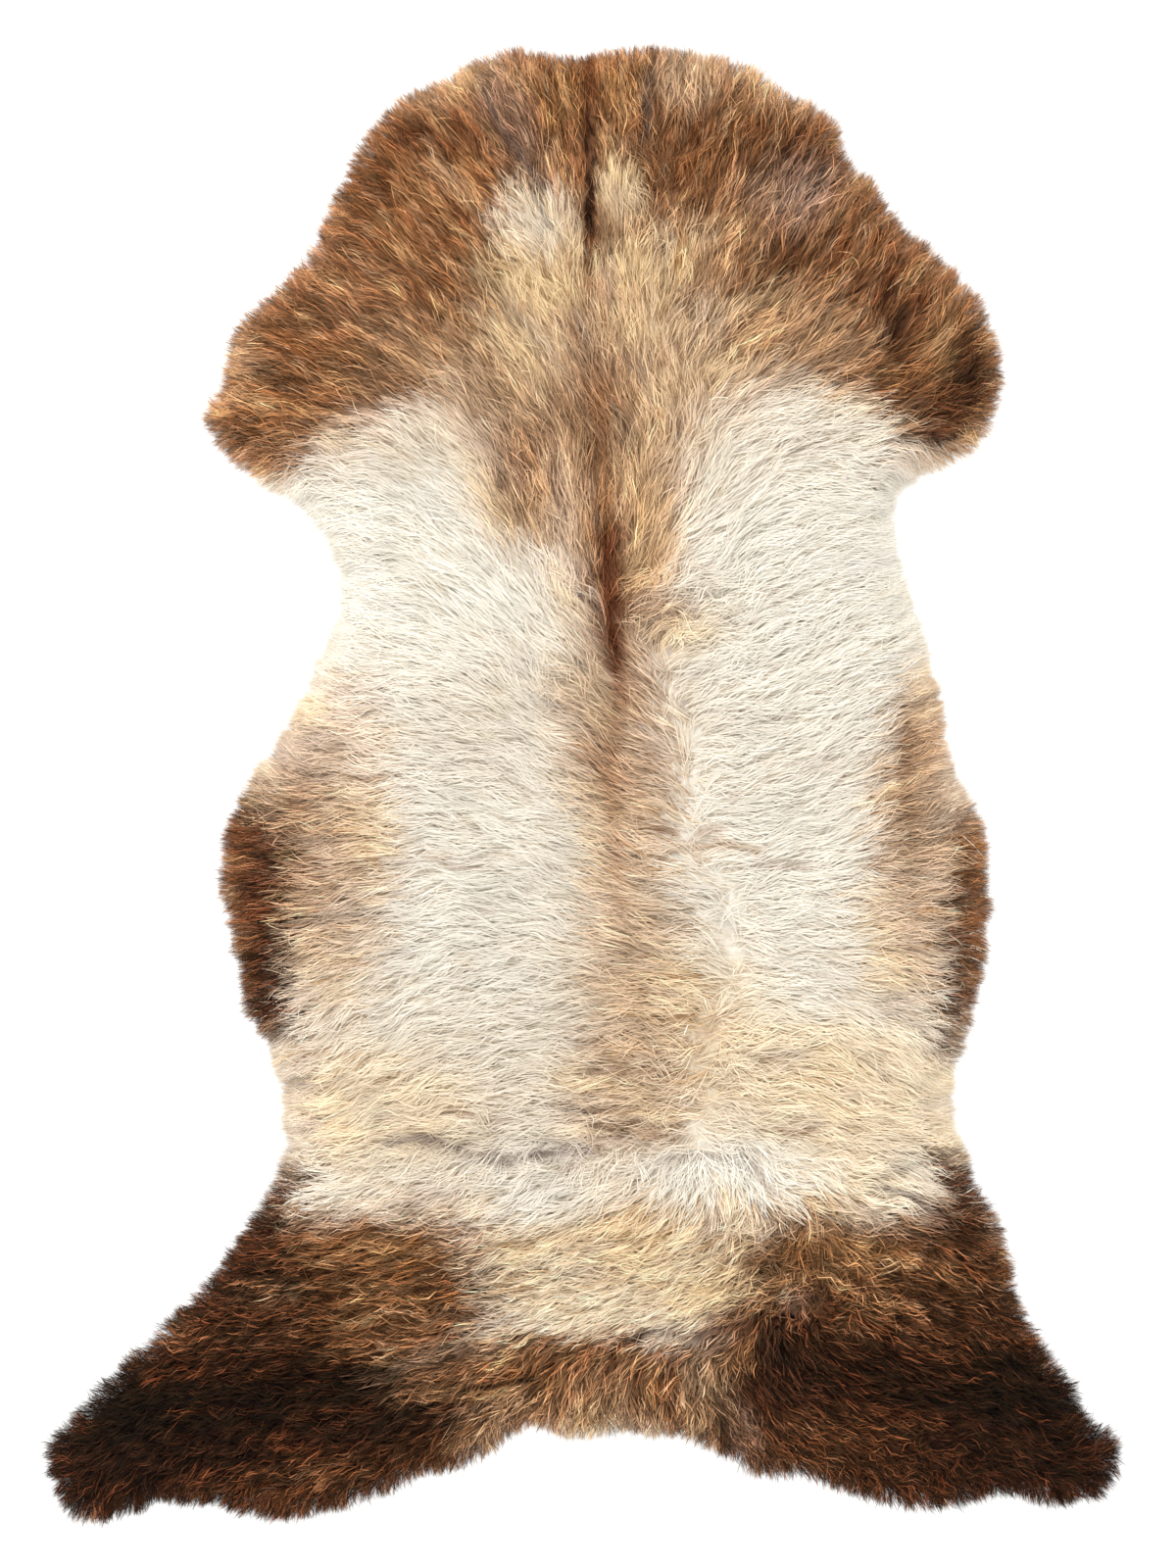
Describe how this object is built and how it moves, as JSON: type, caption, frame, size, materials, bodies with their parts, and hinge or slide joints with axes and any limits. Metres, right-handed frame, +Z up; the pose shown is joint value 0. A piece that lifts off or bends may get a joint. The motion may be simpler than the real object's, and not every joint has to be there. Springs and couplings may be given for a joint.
{
  "type": "sheepskin rug",
  "caption": "Whole tanned sheepskin lying flat, wool side up, with neck, foreleg and hind leg flaps and locks of wool round its rim.",
  "frame": {"origin": "middle of the rug's bounding box, on the surface that the skin lies on", "axes": "+Y from the tail to the neck, +X to the right as seen from above, +Z up, out of the wool"},
  "size_m": [0.8354, 1.1448, 0.04],
  "materials": {
    "wool": "matt undyed wool, cream and honey with brown neck, shoulders and legs"
  },
  "bodies": {
    "root": {"sheepskin": "wool"}
  },
  "joints": []
}
